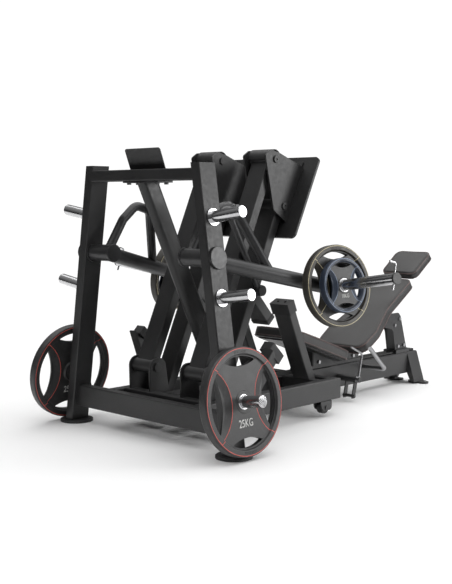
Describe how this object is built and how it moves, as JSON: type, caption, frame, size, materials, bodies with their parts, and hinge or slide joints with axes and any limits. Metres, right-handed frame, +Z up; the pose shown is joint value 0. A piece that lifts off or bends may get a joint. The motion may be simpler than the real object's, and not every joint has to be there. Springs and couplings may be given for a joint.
{
  "type": "leg press machine",
  "caption": "Plate-loaded leg press: two independent foot plates on parallel arms, linked to weight levers, with a reclined seat.",
  "frame": {"origin": "on the floor, under the centre of the machine's outer box", "axes": "+Z up, +Y from the rear A-frame towards the seat, +X to the right-hand side seen from the rear A-frame"},
  "size_m": [1.8232, 2.3305, 1.2853],
  "materials": {
    "frame": "matt black powder coat",
    "lever": "satin gunmetal powder coat",
    "chrome": "polished hard chrome",
    "steel": "zinc plated",
    "rubber": "moulded black rubber",
    "leather": "black-brown upholstery with brown piping",
    "plate_red": "black-coated cast iron weight plate with red lines",
    "plate_gold": "black-coated cast iron weight plate with cream lines",
    "plate_blue": "black-coated cast iron weight plate with blue-grey lines",
    "axle": "satin black"
  },
  "bodies": {
    "frame": {"rear_frame": "frame", "rear_feet": "rubber", "base_frame": "frame", "seat_beam": "frame", "slide_rail": "steel", "floor_feet": "frame", "centre_strut": "frame", "placard": "frame", "frame_bolts": "steel", "lever_axle_right": "axle", "lever_axle_left": "axle", "arm_mount_right": "frame", "arm_mount_left": "frame", "arm_pins_right": "axle", "arm_pins_left": "axle", "stop_post_right": "frame", "stop_post_left": "frame", "lever_stop_right": "frame", "lever_stop_left": "frame", "frame_rubbers_right": "rubber", "frame_rubbers_left": "rubber", "storage_horns_right": "chrome", "storage_horns_left": "chrome", "wheel_fork_right": "frame", "wheel_fork_left": "frame", "hand_grip_right": "chrome", "hand_grip_left": "chrome"},
    "seat": {"seat_carriage": "frame", "back_bracket": "frame", "bracket_bolts": "steel", "seat_pad": "leather", "back_pad": "leather", "head_pad": "leather"},
    "seat_release": {"release_lever": "chrome"},
    "front_arm_right": {"front_arm_right": "frame", "buffer_pad_right": "rubber"},
    "rear_arm_right": {"rear_arm_right": "frame"},
    "foot_plate_right": {"foot_plate_right": "frame", "plate_bracket_right": "frame"},
    "lever_right": {"lever_right": "lever", "lever_horn_right": "chrome"},
    "link_right": {"link_rod_right": "lever"},
    "horn_pin_right": {"horn_pin_right": "chrome"},
    "large_plate_right": {"lever_plate_large_right": "plate_gold"},
    "small_plate_right": {"lever_plate_small_right": "plate_blue"},
    "stored_plate_right": {"storage_plate_right": "plate_red"},
    "wheel_right": {"transport_wheel_right": "rubber"},
    "front_arm_left": {"front_arm_left": "frame", "buffer_pad_left": "rubber"},
    "rear_arm_left": {"rear_arm_left": "frame"},
    "foot_plate_left": {"foot_plate_left": "frame", "plate_bracket_left": "frame"},
    "lever_left": {"lever_left": "lever", "lever_horn_left": "chrome"},
    "link_left": {"link_rod_left": "lever"},
    "horn_pin_left": {"horn_pin_left": "chrome"},
    "large_plate_left": {"lever_plate_large_left": "plate_gold"},
    "small_plate_left": {"lever_plate_small_left": "plate_blue"},
    "stored_plate_left": {"storage_plate_left": "plate_red"},
    "wheel_left": {"transport_wheel_left": "rubber"}
  },
  "joints": [
    {"name": "front_arm_swing_right", "type": "hinge", "parent": "frame", "child": "front_arm_right", "pos_m": [0.171, -0.7403, 0.073], "axis": [1, 0, 0], "range_deg": [-17.75, 3]},
    {"name": "rear_arm_swing_right", "type": "hinge", "parent": "frame", "child": "rear_arm_right", "pos_m": [0.171, -0.8003, 0.288], "axis": [1, 0, 0], "range_deg": [-17.75, 3]},
    {"name": "foot_plate_pivot_right", "type": "hinge", "parent": "front_arm_right", "child": "foot_plate_right", "pos_m": [0.171, -0.31018, 1.02428], "axis": [1, 0, 0], "range_deg": [-3, 17.75]},
    {"name": "lever_swing_right", "type": "hinge", "parent": "frame", "child": "lever_right", "pos_m": [0.3, -0.9403, 0.812], "axis": [1, 0, 0], "range_deg": [-32.16, 5.44]},
    {"name": "link_pivot_right", "type": "hinge", "parent": "lever_right", "child": "link_right", "pos_m": [0.238, -0.6913, 1.02], "axis": [1, 0, 0], "range_deg": [-7.72, 45.65]},
    {"name": "large_plate_slide_right", "type": "slide", "parent": "lever_right", "child": "large_plate_right", "axis": [0.9699, -0.191, 0.151], "range_m": [0, 0.12]},
    {"name": "small_plate_slide_right", "type": "slide", "parent": "large_plate_right", "child": "small_plate_right", "axis": [0.9699, -0.191, 0.151], "range_m": [0, 0.13]},
    {"name": "horn_pin_slide_right", "type": "slide", "parent": "lever_right", "child": "horn_pin_right", "axis": [-0.0931, 0.2821, 0.9549], "range_m": [0, 0.06]},
    {"name": "stored_plate_slide_right", "type": "slide", "parent": "frame", "child": "stored_plate_right", "axis": [0.9893, 0, 0.1461], "range_m": [0, 0.16]},
    {"name": "wheel_spin_right", "type": "hinge", "parent": "frame", "child": "wheel_right", "pos_m": [0.28, -0.0603, 0.048], "axis": [1, 0, 0], "continuous": true},
    {"name": "front_arm_swing_left", "type": "hinge", "parent": "frame", "child": "front_arm_left", "pos_m": [-0.171, -0.7403, 0.073], "axis": [1, 0, 0], "range_deg": [-17.75, 3]},
    {"name": "rear_arm_swing_left", "type": "hinge", "parent": "frame", "child": "rear_arm_left", "pos_m": [-0.171, -0.8003, 0.288], "axis": [1, 0, 0], "range_deg": [-17.75, 3]},
    {"name": "foot_plate_pivot_left", "type": "hinge", "parent": "front_arm_left", "child": "foot_plate_left", "pos_m": [-0.171, -0.31018, 1.02428], "axis": [1, 0, 0], "range_deg": [-3, 17.75]},
    {"name": "lever_swing_left", "type": "hinge", "parent": "frame", "child": "lever_left", "pos_m": [-0.3, -0.9403, 0.812], "axis": [1, 0, 0], "range_deg": [-32.16, 5.44]},
    {"name": "link_pivot_left", "type": "hinge", "parent": "lever_left", "child": "link_left", "pos_m": [-0.238, -0.6913, 1.02], "axis": [1, 0, 0], "range_deg": [-7.72, 45.65]},
    {"name": "large_plate_slide_left", "type": "slide", "parent": "lever_left", "child": "large_plate_left", "axis": [-0.9699, -0.191, 0.151], "range_m": [0, 0.12]},
    {"name": "small_plate_slide_left", "type": "slide", "parent": "large_plate_left", "child": "small_plate_left", "axis": [-0.9699, -0.191, 0.151], "range_m": [0, 0.13]},
    {"name": "horn_pin_slide_left", "type": "slide", "parent": "lever_left", "child": "horn_pin_left", "axis": [0.0931, 0.2821, 0.9549], "range_m": [0, 0.06]},
    {"name": "stored_plate_slide_left", "type": "slide", "parent": "frame", "child": "stored_plate_left", "axis": [-0.9893, 0, 0.1461], "range_m": [0, 0.16]},
    {"name": "wheel_spin_left", "type": "hinge", "parent": "frame", "child": "wheel_left", "pos_m": [-0.28, -0.0603, 0.048], "axis": [1, 0, 0], "continuous": true},
    {"name": "seat_slide", "type": "slide", "parent": "frame", "child": "seat", "axis": [0, 1, 0], "range_m": [0, 0.08]},
    {"name": "seat_release_swing", "type": "hinge", "parent": "frame", "child": "seat_release", "pos_m": [0.184, 0.3567, 0.118], "axis": [1, 0, 0], "range_deg": [0, 12]}
  ],
  "couplings": [
    {"joint": "rear_arm_swing_right", "follows": "front_arm_swing_right", "ratio": 1},
    {"joint": "foot_plate_pivot_right", "follows": "front_arm_swing_right", "ratio": -1},
    {"joint": "lever_swing_right", "follows": "front_arm_swing_right", "ratio": 1.8118},
    {"joint": "link_pivot_right", "follows": "front_arm_swing_right", "ratio": -2.5715},
    {"joint": "rear_arm_swing_left", "follows": "front_arm_swing_left", "ratio": 1},
    {"joint": "foot_plate_pivot_left", "follows": "front_arm_swing_left", "ratio": -1},
    {"joint": "lever_swing_left", "follows": "front_arm_swing_left", "ratio": 1.8118},
    {"joint": "link_pivot_left", "follows": "front_arm_swing_left", "ratio": -2.5715}
  ]
}
